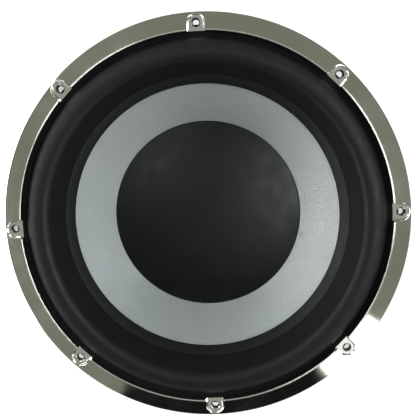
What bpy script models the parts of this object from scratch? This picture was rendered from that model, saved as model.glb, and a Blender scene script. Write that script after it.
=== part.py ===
"""A twelve-inch car subwoofer driver: metres, +Z out of the front, standing on its magnet boot.

Lengths are written in millimetres and turned into metres by MM where a mesh is made.
Outlines are lists of (radius, height) in the plane through the driver's axis.
"""

import math

import bmesh
import bpy
from mathutils import Matrix, Vector

MM = 0.001
STEPS = 40
TERMINAL_STEPS = 12

# Front
RIM_RADIUS = 158.0
RIM_FOOT = 161.3
LIP_RADIUS = 143.2
LIP_HEIGHT = 171.9
PAD_COUNT = 8
PAD_CIRCLE = 149.5
PAD_HALF_WIDTH = 5.6
PAD_FLOOR = 166.4
HOLE_RADIUS = 3.0

# Moving assembly
ROLL_OUTER = 138.6
ROLL_INNER = 112.3
ROLL_CREST = 174.0
CREST_RADIUS = 127.3
CREST_BEND = 7.0
SURROUND_SHEET = 1.5
BAND_INNER = 104.9
CAP_RADIUS = 75.2
CAP_CREST = 138.5
CAP_SHEET = 0.8
CONE_SLOPE = math.radians(36.5)
CONE_AT_CAP = 125.0
CONE_SHEET = 1.0
CONE_NECK = 33.6
FORMER_INNER = 31.75
FORMER_OUTER = 32.15
FORMER_FOOT = 40.5
FORMER_HEAD = 104.0
COIL_FOOT = 41.5
COIL_HEAD = 71.5
COIL_LAYER = 0.9

# Basket
SHEET = 2.0
FLANGE_RADIUS = 155.4
FLANGE_MIDDLE = 162.0
LEDGE_MIDDLE = 80.0
FLOOR_MIDDLE = 62.3
FLOOR_HOLE = 37.0
WINDOW_COUNT = 8
SCREW_COUNT = 6
SCREW_CIRCLE = 62.0

# Motor
BOOT_RADIUS = 81.0
BOOT_HEIGHT = 56.0
MAGNET_RADIUS = 78.0
PLATE_RADIUS = 76.0
POLE_RADIUS = 31.0
VENT_RADIUS = 14.0
GAP = 0.3

# Terminals, in each block's own frame: z runs outwards from the basket's wall
TERMINAL_SEAT = 98.0
TERMINAL_HEIGHT = 100.0
POST_OFFSET = 6.6
TERMINAL_SCREW_OFFSET = 14.4
BASE_THICKNESS = 6.0
CAP_FOOT = 10.3


def material(name, color, roughness, metallic=0.0):
    """A Principled material of one colour."""
    made = bpy.data.materials.new(name)
    made.use_nodes = True
    shader = made.node_tree.nodes["Principled BSDF"]
    shader.inputs["Base Color"].default_value = (*color, 1.0)
    shader.inputs["Roughness"].default_value = roughness
    shader.inputs["Metallic"].default_value = metallic
    return made


def collection(name):
    """A new collection in the scene."""
    made = bpy.data.collections.new(name)
    bpy.context.scene.collection.children.link(made)
    return made


def polar(radius, degrees, height=0.0):
    """The point at this radius, angle and height, in metres."""
    angle = math.radians(degrees)
    return Vector((radius * math.cos(angle), radius * math.sin(angle), height)) * MM


def clockwise(outline):
    """The closed outline, run so that a screw about the axis gives faces that point out."""
    area = sum(a[0] * b[1] - b[0] * a[1] for a, b in zip(outline, outline[1:] + outline[:1]))
    return outline if area < 0 else outline[::-1]


def thick_outline(middle, thickness):
    """The closed outline of a sheet of this thickness around an open middle line."""
    points = [Vector(point) for point in middle]
    sides = [(b - a).normalized() for a, b in zip(points, points[1:])]
    normals = [Vector((-side.y, side.x)) for side in sides]
    upper, lower = [], []
    for i, point in enumerate(points):
        before, after = normals[max(i - 1, 0)], normals[min(i, len(normals) - 1)]
        mitre = (before + after) / (1 + before.dot(after))
        upper.append(tuple(point + mitre * thickness / 2))
        lower.append(tuple(point - mitre * thickness / 2))
    return upper + lower[::-1]


def arc(center_r, center_z, half_width, height, start, end, count):
    """Points along an elliptic arc, with its angles in degrees."""
    angles = [math.radians(start + (end - start) * i / count) for i in range(count + 1)]
    return [(center_r + half_width * math.cos(a), center_z + height * math.sin(a)) for a in angles]


def cone_height(radius):
    """The height of the cone's front surface at this radius."""
    return CONE_AT_CAP + (radius - CAP_RADIUS) * math.tan(CONE_SLOPE)


def mesh_object(name, mesh, look, home):
    """An object of this mesh, in this collection."""
    made = bpy.data.objects.new(name, mesh)
    if look:
        mesh.materials.append(look)
    home.objects.link(made)
    return made


def turned(name, outline, look, home, steps=STEPS, solid=False):
    """A body turned about Z: a ring from a closed outline, or solid from one that ends on the axis."""
    mesh = bpy.data.meshes.new(name)
    points = outline if solid else clockwise(outline)
    edges = [(i, i + 1) for i in range(len(points) - 1)]
    if not solid:
        edges.append((len(points) - 1, 0))
    mesh.from_pydata([(r * MM, 0.0, z * MM) for r, z in points], edges, [])
    made = mesh_object(name, mesh, look, home)
    screw = made.modifiers.new("Turn", "SCREW")
    screw.axis = "Z"
    screw.steps = steps
    screw.render_steps = steps
    screw.use_merge_vertices = True
    screw.merge_threshold = 0.00001
    screw.use_smooth_shade = False
    return made


def mesh_of(name, shape, look, home):
    """An object from a bmesh, whose faces are turned outwards."""
    bmesh.ops.recalc_face_normals(shape, faces=shape.faces)
    mesh = bpy.data.meshes.new(name)
    shape.to_mesh(mesh)
    shape.free()
    return mesh_object(name, mesh, look, home)


def prism_into(shape, outline, low, high):
    """Adds a vertical prism over a flat outline of (x, y) points."""
    floor = shape.faces.new([shape.verts.new((x * MM, y * MM, low * MM)) for x, y in outline])
    lifted = bmesh.ops.extrude_face_region(shape, geom=[floor])
    tops = [item for item in lifted["geom"] if isinstance(item, bmesh.types.BMVert)]
    bmesh.ops.translate(shape, verts=tops, vec=(0.0, 0.0, (high - low) * MM))


def turned_outline(outline, degrees):
    """A flat outline turned about the origin."""
    cosine, sine = math.cos(math.radians(degrees)), math.sin(math.radians(degrees))
    return [(x * cosine - y * sine, x * sine + y * cosine) for x, y in outline]


def circle(radius, count, center=(0.0, 0.0), first=0.0):
    """Points of a regular polygon, counter-clockwise."""
    angles = [math.radians(first + 360.0 * i / count) for i in range(count)]
    return [(center[0] + radius * math.cos(a), center[1] + radius * math.sin(a)) for a in angles]


def rounded_box_outline(width, height, radius, corner_steps=2):
    """A rectangle with round corners, centred on the origin."""
    points = []
    for quarter, (sx, sy) in enumerate(((1, 1), (-1, 1), (-1, -1), (1, -1))):
        center = (sx * (width / 2 - radius), sy * (height / 2 - radius))
        start = 90.0 * quarter
        for i in range(corner_steps + 1):
            angle = math.radians(start + 90.0 * i / corner_steps)
            points.append((center[0] + radius * math.cos(angle), center[1] + radius * math.sin(angle)))
    return points


def cutter(name, shape, cutters):
    """A hidden helper that other objects are cut with."""
    made = mesh_of(name, shape, None, cutters)
    made.hide_render = True
    made.display_type = "WIRE"
    return made


def cut(target, tool):
    """Takes the cutter away from the target."""
    boolean = target.modifiers.new("Cut " + tool.name, "BOOLEAN")
    boolean.operation = "DIFFERENCE"
    boolean.solver = "EXACT"
    boolean.object = tool


def hole_ring(name, count, ring_radius, hole_radius, low, high, cutters):
    """A cutter of round holes spread evenly on a circle."""
    shape = bmesh.new()
    for i in range(count):
        outline = circle(hole_radius, 12, (ring_radius, 0.0), 15.0)
        prism_into(shape, turned_outline(outline, 360.0 * i / count), low, high)
    return cutter(name, shape, cutters)


def window_ring(name, half_angle, inner, outer, low, high, corner, cutters):
    """A cutter of radial windows with rounded corners, between the spokes."""
    shape = bmesh.new()
    center = (low + high) / 2
    for i in range(WINDOW_COUNT):
        turn = Matrix.Rotation(math.radians(360.0 / WINDOW_COUNT * (i + 0.5)), 3, "Z")
        ends = []
        for radius in (inner, outer):
            width = 2 * radius * math.tan(math.radians(half_angle))
            outline = rounded_box_outline(width, high - low, corner)
            ends.append([shape.verts.new(turn @ Vector((radius, x, center + z)) * MM) for x, z in outline])
        near, far = ends
        shape.faces.new(near)
        shape.faces.new(far)
        for j, corner_point in enumerate(near):
            k = (j + 1) % len(near)
            shape.faces.new((corner_point, near[k], far[k], far[j]))
    return cutter(name, shape, cutters)


def motor(home, cutters, looks):
    """The boot, back plate with its pole, magnets and top plate."""
    inside = MAGNET_RADIUS + 0.6
    turned("magnet_boot", [
        (inside, BOOT_HEIGHT), (BOOT_RADIUS, BOOT_HEIGHT - 1), (BOOT_RADIUS, 1.5),
        (BOOT_RADIUS - 1.5, 0), (64.0, 0), (64.0, 1.8), (inside, 1.8),
    ], looks["rubber"], home)
    plate_foot, plate_head, pole_head = 2.1, 12.1, 63.0
    turned("back_plate_and_pole", [
        (POLE_RADIUS, pole_head), (POLE_RADIUS, plate_head), (PLATE_RADIUS, plate_head),
        (PLATE_RADIUS, plate_foot + 2), (PLATE_RADIUS - 2, plate_foot), (VENT_RADIUS + 4, plate_foot),
        (VENT_RADIUS, plate_foot + 6), (VENT_RADIUS, pole_head - 6), (VENT_RADIUS + 4, pole_head),
    ], looks["zinc"], home)
    magnet_inner, magnet_height = 44.0, 19.5
    foot = plate_head + GAP
    for name in ("magnet_lower", "magnet_upper"):
        head = foot + magnet_height
        turned(name, [
            (magnet_inner, head), (MAGNET_RADIUS, head), (MAGNET_RADIUS, foot), (magnet_inner, foot),
        ], looks["ferrite"], home)
        foot = head + GAP
    plate_top = FLOOR_MIDDLE - SHEET / 2 - GAP
    plate = turned("top_plate", [
        (35.6, plate_top), (PLATE_RADIUS, plate_top), (PLATE_RADIUS, foot), (35.6, foot),
    ], looks["zinc"], home)
    cut(plate, hole_ring("plate_screw_holes", SCREW_COUNT, SCREW_CIRCLE, 2.6, foot + 1, 64, cutters))


def basket(home, cutters, looks):
    """The stamped frame: one sheet from the floor up the cup, over the ledge and out to the flange."""
    cup_radius, wall_radius = 84.5, 95.5
    middle = [
        (FLOOR_HOLE, FLOOR_MIDDLE), (cup_radius - 6, FLOOR_MIDDLE), (cup_radius - 1.5, FLOOR_MIDDLE + 3.5),
        (cup_radius, LEDGE_MIDDLE), (wall_radius, LEDGE_MIDDLE), (wall_radius + 1, 111.0), (103.0, 121.0),
        (118.0, 132.0), (131.0, 149.0), (136.5, FLANGE_MIDDLE), (FLANGE_RADIUS, FLANGE_MIDDLE),
    ]
    low, high = FLANGE_MIDDLE - 3, FLANGE_MIDDLE + 3
    frame = turned("basket", thick_outline(middle, SHEET), looks["black_steel"], home)
    cut(frame, window_ring("wall_windows", 12.5, 90.0, 130.0, 96.0, 170.0, 5.0, cutters))
    cut(frame, window_ring("cup_windows", 8.5, 74.0, 92.0, 68.5, 77.5, 3.0, cutters))
    cut(frame, hole_ring("flange_holes", PAD_COUNT, PAD_CIRCLE, HOLE_RADIUS, low, high, cutters))
    cut(frame, hole_ring("floor_screw_holes", SCREW_COUNT, SCREW_CIRCLE, 2.6, 59, 65, cutters))
    shape = bmesh.new()
    for side in (1, -1):
        prism_into(shape, rounded_box_outline(20.0, 7.0, 1.0, 1), 85 * side, 101 * side)
        for offset in (TERMINAL_SCREW_OFFSET, -TERMINAL_SCREW_OFFSET):
            prism_into(shape, circle(1.4, 8, (offset, 0.0)), 85 * side, 101 * side)
    bmesh.ops.rotate(shape, verts=shape.verts, matrix=Matrix.Rotation(math.radians(-90), 3, "X"))
    bmesh.ops.translate(shape, verts=shape.verts, vec=(0.0, 0.0, TERMINAL_HEIGHT * MM))
    cut(frame, cutter("terminal_slots", shape, cutters))
    for i in range(SCREW_COUNT):
        screw = turned(f"basket_screw_{i + 1}", [
            (0.0, 66.2), (3.6, 66.0), (4.4, 64.8), (4.4, 63.6), (2.2, 63.6), (2.2, 54.2), (0.0, 54.2),
        ], looks["steel"], home, TERMINAL_STEPS, solid=True)
        screw.location = polar(SCREW_CIRCLE, 360.0 * i / SCREW_COUNT)


def trim_ring(home, cutters, looks):
    """The sloping ring over the flange, with a flat pocket around each mounting hole."""
    seat = FLANGE_MIDDLE + SHEET / 2 + GAP
    inner_foot = seat + 1.8
    ring = turned("trim_ring", [
        (LIP_RADIUS, inner_foot), (LIP_RADIUS, LIP_HEIGHT - 0.8), (LIP_RADIUS + 0.6, LIP_HEIGHT),
        (LIP_RADIUS + 1.4, LIP_HEIGHT - 0.4), (156.8, seat + 3.3), (RIM_RADIUS, seat + 1.7),
        (RIM_RADIUS, RIM_FOOT), (156.0, RIM_FOOT), (156.0, seat), (147.8, seat), (147.8, inner_foot),
    ], looks["chrome"], home)
    shape = bmesh.new()
    half = [(PAD_CIRCLE + PAD_HALF_WIDTH * math.cos(math.radians(a)),
             PAD_HALF_WIDTH * math.sin(math.radians(a))) for a in range(-90, 91, 30)]
    outline = [(138.0, -PAD_HALF_WIDTH), *half, (138.0, PAD_HALF_WIDTH)]
    for i in range(PAD_COUNT):
        prism_into(shape, turned_outline(outline, 360.0 * i / PAD_COUNT), PAD_FLOOR, PAD_FLOOR + 14)
    cut(ring, cutter("pad_pockets", shape, cutters))
    low, high = RIM_FOOT - 2, PAD_FLOOR + 4
    cut(ring, hole_ring("ring_holes", PAD_COUNT, PAD_CIRCLE, HOLE_RADIUS, low, high, cutters))


def surround(home, looks):
    """The roll between the flange and the cone, steep inside, with the flat band glued on the cone."""
    foot = FLANGE_MIDDLE + SHEET / 2 + GAP + SURROUND_SHEET / 2
    lift = (GAP + SURROUND_SHEET / 2) / math.cos(CONE_SLOPE) + 0.1
    outer_foot = foot + 1.0
    inner_foot = cone_height(ROLL_INNER) + lift
    across, down = CREST_RADIUS - ROLL_INNER, ROLL_CREST - CREST_BEND - inner_foot
    tangent = math.atan2(down, across) - math.acos(CREST_BEND / math.hypot(across, down))
    middle = [(147.2, foot), (ROLL_OUTER, foot)]
    middle += arc(CREST_RADIUS, outer_foot, ROLL_OUTER - CREST_RADIUS, ROLL_CREST - outer_foot, 0, 90, 5)
    bend_end = 180 + math.degrees(tangent)
    middle += arc(CREST_RADIUS, ROLL_CREST - CREST_BEND, CREST_BEND, CREST_BEND, 90, bend_end, 4)[1:]
    middle += [(ROLL_INNER, inner_foot), (BAND_INNER, cone_height(BAND_INNER) + lift)]
    turned("surround", thick_outline(middle, SURROUND_SHEET), looks["rubber"], home)


def moving_assembly(home, looks):
    """The cone, its cap, the voice coil former and the two windings."""
    drop = CONE_SHEET / 2 / math.cos(CONE_SLOPE)
    edge = ROLL_INNER - 0.3
    turned("cone", thick_outline([
        (edge, cone_height(edge) - drop), (CONE_NECK, cone_height(CONE_NECK) - drop), (33.0, 98.0),
    ], CONE_SHEET), looks["silver_weave"], home)
    rim = CONE_AT_CAP + 1.0
    rise = CAP_CREST - rim
    ball = (CAP_RADIUS ** 2 + rise ** 2) / (2 * rise)
    spread = math.degrees(math.asin(CAP_RADIUS / ball))
    outside = arc(0, CAP_CREST - ball, ball, ball, 90, 90 - spread, 5)
    inside = arc(0, CAP_CREST - ball, ball - CAP_SHEET, ball - CAP_SHEET, 90 - spread, 90, 5)
    dome = [(0.0, outside[0][1]), *outside[1:], *inside[:-1], (0.0, inside[-1][1])]
    turned("dust_cap", dome, looks["matte_black"], home, solid=True)
    turned("voice_coil_former", [
        (FORMER_INNER, FORMER_HEAD), (FORMER_OUTER, FORMER_HEAD),
        (FORMER_OUTER, FORMER_FOOT), (FORMER_INNER, FORMER_FOOT),
    ], looks["aluminium"], home)
    start = FORMER_OUTER + GAP
    for name in ("coil_inner", "coil_outer"):
        turned(name, [
            (start, COIL_HEAD), (start + COIL_LAYER, COIL_HEAD),
            (start + COIL_LAYER, COIL_FOOT), (start, COIL_FOOT),
        ], looks["copper"], home)
        start += COIL_LAYER + GAP


def spider(home, looks):
    """The corrugated cloth disc between the ledge and the former."""
    level, wave, folds = LEDGE_MIDDLE + SHEET / 2 + 0.9, 2.4, 8
    first, last = 37.5, 78.5
    middle = [(33.2, level + 3.6), (33.2, level)]
    for i in range(folds):
        radius = first + (last - first) * i / (folds - 1)
        middle.append((radius, level + wave * (1 if i % 2 else -1)))
    middle += [(82.3, level), (93.0, level)]
    turned("spider", thick_outline(middle, 0.8), looks["cloth"], home, steps=32)


def smooth_route(points, count):
    """Points of one smooth curve through the given ones, evenly spread over its spans."""
    controls = [Vector(point) for point in points]
    controls = [2 * controls[0] - controls[1], *controls, 2 * controls[-1] - controls[-2]]
    spans = len(points) - 1
    route = []
    for i in range(count + 1):
        at = min(i / count * spans, spans - 1e-6)
        k, t = int(at), at - int(at)
        p0, p1, p2, p3 = controls[k:k + 4]
        route.append(((2 * p1) + (p2 - p0) * t + (2 * p0 - 5 * p1 + 4 * p2 - p3) * t ** 2
                      + (3 * p1 - p0 - 3 * p2 + p3) * t ** 3) / 2)
    return route


def wire(name, points, radius, look, home, resolution=2):
    """A round wire with closed ends through these points."""
    curve = bpy.data.curves.new(name, "CURVE")
    curve.dimensions = "3D"
    curve.bevel_depth = radius * MM
    curve.bevel_resolution = resolution
    curve.use_fill_caps = True
    spline = curve.splines.new("POLY")
    spline.points.add(len(points) - 1)
    for target, point in zip(spline.points, points):
        target.co = (*(Vector(point) * MM), 1.0)
    curve.materials.append(look)
    made = bpy.data.objects.new(name, curve)
    home.objects.link(made)
    return made


def tinsel_leads(home, looks):
    """Four soft leads from the terminals' inner ends to the top of the former."""
    for side, block in ((1, "a"), (-1, "b")):
        for offset, pole in ((1, "positive"), (-1, "negative")):
            route = [
                (6.6, 92.2, 100.0), (7.4, 84.0, 100.2), (9.6, 70.0, 95.4),
                (10.4, 56.0, 91.2), (8.6, 43.0, 89.4), (6.2, 34.4, 89.4),
            ]
            flip = offset * side
            points = [(x * flip, y * side, z) for x, y, z in smooth_route(route, 12)]
            wire(f"tinsel_lead_{pole}_{block}", points, 0.9, looks["tinsel"], home)


def terminal_base(name, home, cutters, looks, parent):
    """The plastic block, whose inner boss goes through the basket's wall."""
    shape = bmesh.new()
    prism_into(shape, rounded_box_outline(34.0, 18.0, 2.0), 0.0, BASE_THICKNESS)
    made = mesh_of(name, shape, looks["black_plastic"], home)
    made.parent = parent
    shape = bmesh.new()
    prism_into(shape, rounded_box_outline(19.0, 6.2, 0.8, 1), -4.0, 0.5)
    boss = cutter(name + "_boss", shape, cutters)
    shape = bmesh.new()
    for offset in (POST_OFFSET, -POST_OFFSET):
        prism_into(shape, circle(1.9, 10, (offset, 0.0)), -6.0, 3.0)
        prism_into(shape, circle(4.7, 16, (offset, 0.0)), 1.2, 8.0)
    bores = cutter(name + "_bores", shape, cutters)
    shape = bmesh.new()
    for offset in (TERMINAL_SCREW_OFFSET, -TERMINAL_SCREW_OFFSET):
        prism_into(shape, circle(1.4, 8, (offset, 0.0)), -6.0, 8.0)
    screws = cutter(name + "_screw_holes", shape, cutters)
    join = made.modifiers.new("Join boss", "BOOLEAN")
    join.operation = "UNION"
    join.object = boss
    for tool in (bores, screws):
        cut(made, tool)
    for tool in (boss, bores, screws):
        tool.parent = parent


def terminals(home, cutters, looks):
    """The two terminal blocks, each with two sprung push caps on posts."""
    for side, block in ((1, "a"), (-1, "b")):
        frame = bpy.data.objects.new(f"terminal_frame_{block}", None)
        home.objects.link(frame)
        frame.location = (0.0, TERMINAL_SEAT * side * MM, TERMINAL_HEIGHT * MM)
        frame.rotation_euler = (math.radians(-90), 0.0, math.radians(0 if side == 1 else 180))
        terminal_base(f"terminal_base_{block}", home, cutters, looks, frame)
        for i, offset in enumerate((TERMINAL_SCREW_OFFSET, -TERMINAL_SCREW_OFFSET)):
            screw = turned(f"terminal_screw_{block}_{i + 1}", [
                (0.0, 7.8), (1.4, 7.6), (2.0, 6.9), (2.0, 6.3), (1.0, 6.3), (1.0, -5.0), (0.0, -5.0),
            ], looks["steel"], home, 8, solid=True)
            screw.parent = frame
            screw.location = (offset * MM, 0.0, 0.0)
        for offset, pole, color in ((POST_OFFSET, "positive", "red_plastic"),
                                    (-POST_OFFSET, "negative", "black_plastic")):
            push_terminal(f"{pole}_{block}", offset, home, looks, color, frame)


def push_terminal(tag, offset, home, looks, color, frame):
    """One post, the spring around it and the cap that slides on it."""
    post = turned(f"terminal_post_{tag}", [
        (0.0, 13.2), (2.6, 13.2), (2.6, 12.3), (1.6, 12.3),
        (1.6, -4.4), (2.6, -4.4), (2.6, -5.4), (0.0, -5.4),
    ], looks["brass"], home, 10, solid=True)
    cap = turned(f"push_cap_{tag}", [
        (0.0, 20.3), (4.6, 20.3), (5.6, 19.3), (5.6, CAP_FOOT), (2.0, CAP_FOOT), (2.0, 11.9),
        (4.4, 11.9), (4.4, 18.6), (0.0, 18.6),
    ], looks[color], home, 16, solid=True)
    turns, per_turn, low, high = 3.5, 8, 1.7, 9.7
    count = int(turns * per_turn)
    helix = [(3.3 * math.cos(2 * math.pi * i / per_turn), 3.3 * math.sin(2 * math.pi * i / per_turn),
              low + (high - low) * i / count) for i in range(count + 1)]
    spring = wire(f"terminal_spring_{tag}", helix, 0.35, looks["steel"], home, resolution=1)
    for piece in (post, cap, spring):
        piece.parent = frame
        piece.location = (offset * MM, 0.0, 0.0)


def palette():
    """The materials, by name."""
    return {
        "chrome": material("chrome", (0.80, 0.80, 0.78), 0.06, 1.0),
        "rubber": material("rubber", (0.012, 0.012, 0.013), 0.5),
        "silver_weave": material("silver_weave", (0.38, 0.41, 0.41), 0.4, 0.3),
        "matte_black": material("matte_black", (0.02, 0.02, 0.021), 0.42),
        "black_steel": material("black_steel", (0.015, 0.015, 0.016), 0.45),
        "zinc": material("zinc", (0.62, 0.62, 0.58), 0.32, 1.0),
        "ferrite": material("ferrite", (0.05, 0.05, 0.052), 0.6),
        "steel": material("steel", (0.5, 0.5, 0.5), 0.35, 1.0),
        "aluminium": material("aluminium", (0.75, 0.75, 0.76), 0.3, 1.0),
        "copper": material("copper", (0.72, 0.30, 0.14), 0.35, 1.0),
        "cloth": material("cloth", (0.52, 0.37, 0.12), 0.85),
        "tinsel": material("tinsel", (0.66, 0.62, 0.55), 0.5, 0.6),
        "brass": material("brass", (0.80, 0.62, 0.25), 0.25, 1.0),
        "red_plastic": material("red_plastic", (0.55, 0.02, 0.02), 0.35),
        "black_plastic": material("black_plastic", (0.02, 0.02, 0.02), 0.4),
    }


def main():
    """Clears the scene and builds the driver."""
    for old in list(bpy.data.objects):
        bpy.data.objects.remove(old, do_unlink=True)
    home = collection("subwoofer_driver")
    cutters = collection("cutters")
    looks = palette()
    motor(home, cutters, looks)
    basket(home, cutters, looks)
    trim_ring(home, cutters, looks)
    surround(home, looks)
    moving_assembly(home, looks)
    spider(home, looks)
    tinsel_leads(home, looks)
    terminals(home, cutters, looks)


main()
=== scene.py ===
"""The detailed look of a twelve-inch car subwoofer driver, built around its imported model.

Lengths are in millimetres until a mesh is made. Outlines are lists of (radius, height), and
a third number rounds that corner off. Every piece but the cap's bead of glue stands for one CAD
node, and rides on its body or stretches between two.
"""

import math

import bmesh
import bpy
import numpy as np
from mathutils import Matrix, Vector


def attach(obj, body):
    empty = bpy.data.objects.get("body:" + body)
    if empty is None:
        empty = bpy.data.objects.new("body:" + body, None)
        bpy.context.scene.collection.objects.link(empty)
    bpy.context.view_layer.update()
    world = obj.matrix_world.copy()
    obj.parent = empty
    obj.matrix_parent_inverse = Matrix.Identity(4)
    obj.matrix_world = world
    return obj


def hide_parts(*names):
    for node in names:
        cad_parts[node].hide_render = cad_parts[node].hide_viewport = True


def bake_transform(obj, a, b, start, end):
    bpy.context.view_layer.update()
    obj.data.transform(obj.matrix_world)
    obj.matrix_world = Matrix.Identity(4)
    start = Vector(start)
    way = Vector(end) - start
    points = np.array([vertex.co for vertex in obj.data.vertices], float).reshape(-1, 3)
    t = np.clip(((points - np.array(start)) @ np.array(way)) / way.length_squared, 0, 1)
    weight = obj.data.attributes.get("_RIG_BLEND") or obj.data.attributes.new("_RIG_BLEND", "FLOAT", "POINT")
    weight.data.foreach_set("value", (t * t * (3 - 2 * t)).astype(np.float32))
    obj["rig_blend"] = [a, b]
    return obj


MM = 0.001

# How many steps a turned part has, and the angle that shows as an edge
FINEST = 320
FINE = 256
COARSE = 96
SHARP = math.radians(35)

# The driver's main sizes, as in the CAD
RIM_RADIUS = 158.0
RIM_FOOT = 161.3
LIP_RADIUS = 143.2
LIP_HEIGHT = 171.9
PAD_COUNT = 8
PAD_CIRCLE = 149.5
PAD_HALF_WIDTH = 5.6
PAD_FLOOR = 166.4
HOLE_RADIUS = 3.0
ROLL_OUTER = 138.6
ROLL_INNER = 112.3
ROLL_CREST = 174.0
CREST_RADIUS = 127.3
CREST_BEND = 7.0
BAND_INNER = 104.9
CAP_RADIUS = 75.2
CAP_CREST = 138.5
CONE_SLOPE = math.radians(36.5)
CONE_AT_CAP = 125.0
CONE_NECK = 33.6
FLANGE_MIDDLE = 162.0
LEDGE_MIDDLE = 80.0
FLOOR_MIDDLE = 62.3
SHEET = 2.0
WINDOW_COUNT = 8
SCREW_COUNT = 6
SCREW_CIRCLE = 62.0
SCREW_HOLE = 2.6
GAP = 0.3
TERMINAL_SEAT = 98.0
TERMINAL_HEIGHT = 100.0
POST_OFFSET = 6.6
TERMINAL_SCREW_OFFSET = 14.4

# The basket's flange holes are shown smaller than the CAD's, which are HOLE_RADIUS
FLANGE_HOLE = HOLE_RADIUS - 0.6

# Between these radii the spider and the leads turn from following the frame to following the cone
SPIDER_OUTER = 82.3
SPIDER_INNER = 37.0

# Lays a part's z along y, and the side in y that each terminal block is on
LIE_BACK = Matrix.Rotation(math.radians(-90), 4, "X")
BLOCKS = ((1, "a"), (-1, "b"))


# ---- outlines and meshes

def smoothstep(value):
    """0 below 0, 1 above 1 and smooth between them, for numbers or arrays."""
    part = np.clip(value, 0.0, 1.0)
    return part * part * (3.0 - 2.0 * part)


def rounded(corners, closed=True, steps=5):
    """An outline whose corners with a third number are rounded off by that radius."""
    outline = []
    count = len(corners)
    for i, corner in enumerate(corners):
        at = Vector(corner[:2])
        if len(corner) == 2 or (not closed and i in (0, count - 1)):
            outline.append(tuple(at))
            continue
        back = Vector(corners[i - 1][:2]) - at
        onward = Vector(corners[(i + 1) % count][:2]) - at
        half = back.angle(onward) / 2
        reach = min(corner[2] / math.tan(half), 0.48 * back.length, 0.48 * onward.length)
        middle = at + (back.normalized() + onward.normalized()).normalized() * reach / math.cos(half)
        start = at + back.normalized() * reach - middle
        end = at + onward.normalized() * reach - middle
        sweep = start.angle(end)
        for j in range(steps + 1):
            part = j / steps
            spoke = (start * math.sin((1 - part) * sweep) + end * math.sin(part * sweep)) / math.sin(sweep)
            outline.append(tuple(middle + spoke))
    return outline


def elliptic_arc(center, half_width, height, start, end, count):
    """Points along an elliptic arc, with its angles in degrees."""
    angles = [math.radians(start + (end - start) * i / count) for i in range(count + 1)]
    return [(center[0] + half_width * math.cos(a), center[1] + height * math.sin(a)) for a in angles]


def line_normals(line):
    """The unit normals to the left of an open line, one for each of its points."""
    points = np.array(line, float)
    along = np.gradient(points, axis=0)
    along /= np.linalg.norm(along, axis=1)[:, None]
    return np.stack([-along[:, 1], along[:, 0]], axis=1)


def sheet_outline(middle, thickness, end_steps=4):
    """The closed outline of a sheet with round ends, around an open middle line."""
    points = np.array(middle, float)
    normals = line_normals(middle) * thickness / 2
    upper, lower = points + normals, points - normals
    ends = []
    for tip, normal in ((points[-1], normals[-1]), (points[0], -normals[0])):
        for j in range(1, end_steps):
            turn = -math.pi * j / end_steps
            cosine, sine = math.cos(turn), math.sin(turn)
            spoke = (normal[0] * cosine - normal[1] * sine, normal[0] * sine + normal[1] * cosine)
            ends.append(tip + spoke)
    return [tuple(p) for p in (*upper, *ends[:end_steps - 1], *lower[::-1], *ends[end_steps - 1:])]


def grid_faces(rows, columns, wrap_rows, wrap_columns):
    """The quads of a grid of points, stored row by row."""
    row = np.arange(rows if wrap_rows else rows - 1)
    column = np.arange(columns if wrap_columns else columns - 1)
    first, second = np.meshgrid(row, column, indexing="ij")
    next_row, next_column = (first + 1) % rows, (second + 1) % columns
    corners = (first * columns + second, next_row * columns + second,
               next_row * columns + next_column, first * columns + next_column)
    return np.stack([corner.ravel() for corner in corners], axis=1)


def turned(outline, steps=FINE, closed=True):
    """(points, faces) of an outline turned about Z, closed in itself or running from axis to axis."""
    radii, heights = np.array(outline, float).T
    angles = np.arange(steps) * 2 * math.pi / steps
    points = np.stack([np.outer(np.cos(angles), radii), np.outer(np.sin(angles), radii),
                       np.broadcast_to(heights, (steps, len(radii)))], axis=-1)
    return points.reshape(-1, 3), grid_faces(steps, len(radii), True, closed)


def gripped(part, count, depth, beyond):
    """The same turned part, with ripples round whatever lies beyond a radius."""
    points, faces = part
    radii = np.hypot(points[:, 0], points[:, 1])
    angles = np.arctan2(points[:, 1], points[:, 0])
    change = np.where(radii > beyond, 1 + depth * np.cos(count * angles) / np.maximum(radii, beyond), 1.0)
    return points * np.stack([change, change, np.ones_like(change)], axis=1), faces


def tube(route, radius, sides=12, ripple=0.0, ripple_turns=3, ripple_pitch=2.0):
    """(points, faces) of a round wire along a route, with closed ends and an optional braided ripple."""
    path = np.array(route, float)
    along = np.gradient(path, axis=0)
    along /= np.linalg.norm(along, axis=1)[:, None]
    travelled = np.concatenate([[0.0], np.cumsum(np.linalg.norm(np.diff(path, axis=0), axis=1))])
    side = np.cross(along[0], (0.0, 0.0, 1.0) if abs(along[0][2]) < 0.9 else (1.0, 0.0, 0.0))
    rings = []
    for point, direction, distance in zip(path, along, travelled):
        side = side - direction * side.dot(direction)
        side /= np.linalg.norm(side)
        other = np.cross(direction, side)
        angles = np.arange(sides) * 2 * math.pi / sides
        phase = 2 * math.pi * distance / ripple_pitch
        wave = np.sin(phase + ripple_turns * angles) * np.sin(phase - ripple_turns * angles)
        reach = radius * (1 - ripple * wave)
        wide, deep = np.cos(angles) * reach, np.sin(angles) * reach
        rings.append(point + np.outer(wide, side) + np.outer(deep, other))
    rings = [np.repeat(path[:1], sides, axis=0), *rings, np.repeat(path[-1:], sides, axis=0)]
    return np.concatenate(rings), grid_faces(len(rings), sides, False, True)


def prism(outline, low, high):
    """(points, faces) of a flat outline of (x, y) points pushed up from one height to another."""
    count = len(outline)
    points = [(x, y, z) for z in (low, high) for x, y in outline]
    sides = [(i, (i + 1) % count, (i + 1) % count + count, i + count) for i in range(count)]
    return np.array(points), [*sides, tuple(range(count)), tuple(range(count, 2 * count))]


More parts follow.
